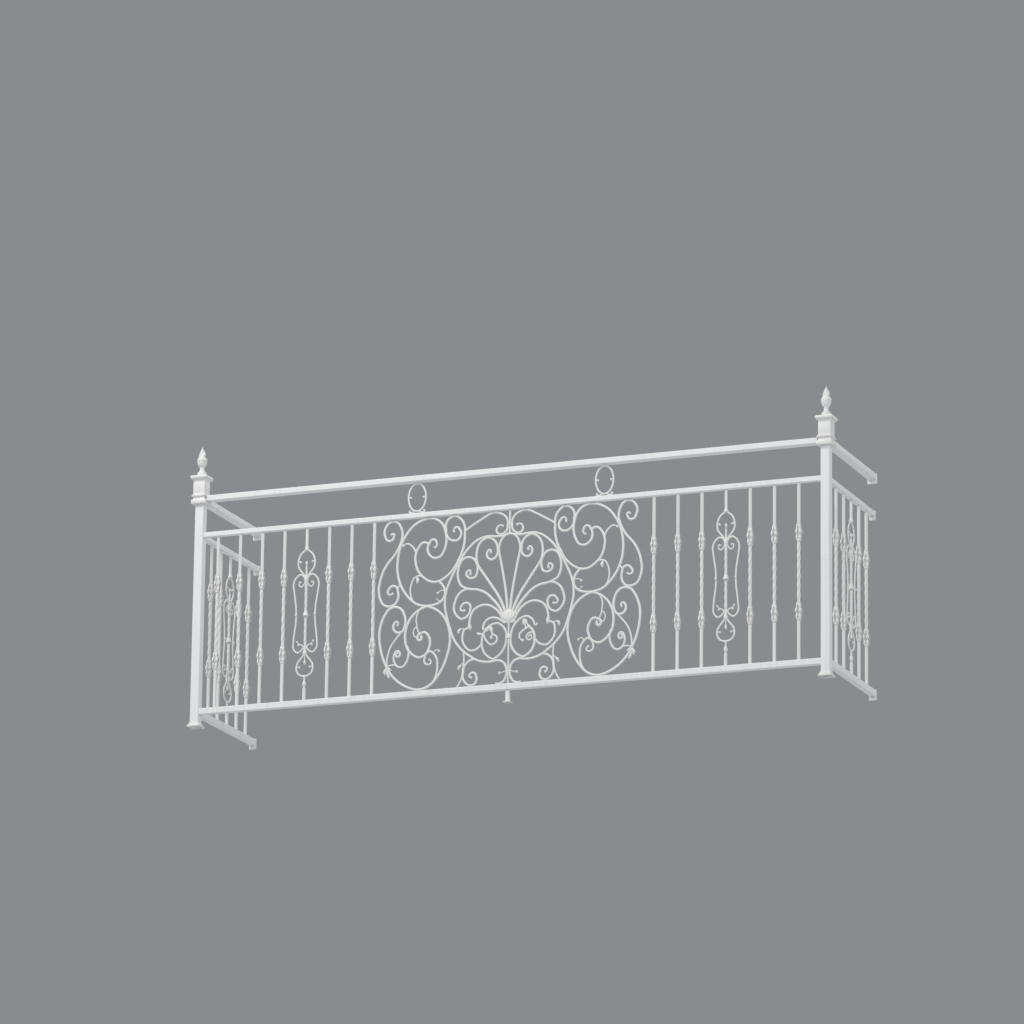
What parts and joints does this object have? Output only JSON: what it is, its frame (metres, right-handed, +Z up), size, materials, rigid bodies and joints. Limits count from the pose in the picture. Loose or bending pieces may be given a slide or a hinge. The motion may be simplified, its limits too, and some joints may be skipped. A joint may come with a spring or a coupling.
{
  "type": "balcony railing",
  "caption": "White aluminium balcony railing with square corner posts, flame finials, twisted balusters, lyre balusters and a scrollwork panel in the middle of the front.",
  "frame": {"origin": "underside of the right corner post, at the middle of its square, on the balcony slab", "axes": "+X along the front run to the right, +Y from the front run back to the wall, +Z up"},
  "size_m": [3.004, 0.6595, 1.279],
  "materials": {
    "white_paint": "satin white powder coat on cast and extruded aluminium, slightly weathered"
  },
  "bodies": {
    "root": {"centre_foot": "white_paint", "front_baluster_left_1": "white_paint", "front_baluster_left_2": "white_paint", "front_baluster_left_3": "white_paint", "front_baluster_left_4": "white_paint", "front_baluster_left_5": "white_paint", "front_baluster_left_6": "white_paint", "front_baluster_left_7": "white_paint", "front_baluster_right_1": "white_paint", "front_baluster_right_2": "white_paint", "front_baluster_right_3": "white_paint", "front_baluster_right_4": "white_paint", "front_baluster_right_5": "white_paint", "front_baluster_right_6": "white_paint", "front_bottom_rail": "white_paint", "front_handrail": "white_paint", "front_midrail": "white_paint", "handrail_ring_left": "white_paint", "handrail_ring_right": "white_paint", "left_bottom_rail": "white_paint", "left_handrail": "white_paint", "left_midrail": "white_paint", "left_post": "white_paint", "left_post_capital": "white_paint", "left_post_collar": "white_paint", "left_post_finial": "white_paint", "left_post_shoe": "white_paint", "left_return_balusters": "white_paint", "left_return_ornate_baluster": "white_paint", "left_wall_plates": "white_paint", "ornate_baluster_left": "white_paint", "ornate_baluster_right": "white_paint", "right_bottom_rail": "white_paint", "right_handrail": "white_paint", "right_midrail": "white_paint", "right_post": "white_paint", "right_post_capital": "white_paint", "right_post_collar": "white_paint", "right_post_finial": "white_paint", "right_post_shoe": "white_paint", "right_return_balusters": "white_paint", "right_return_ornate_baluster": "white_paint", "right_wall_plates": "white_paint", "scrollwork_fan": "white_paint", "scrollwork_left": "white_paint", "scrollwork_right": "white_paint"}
  },
  "joints": []
}
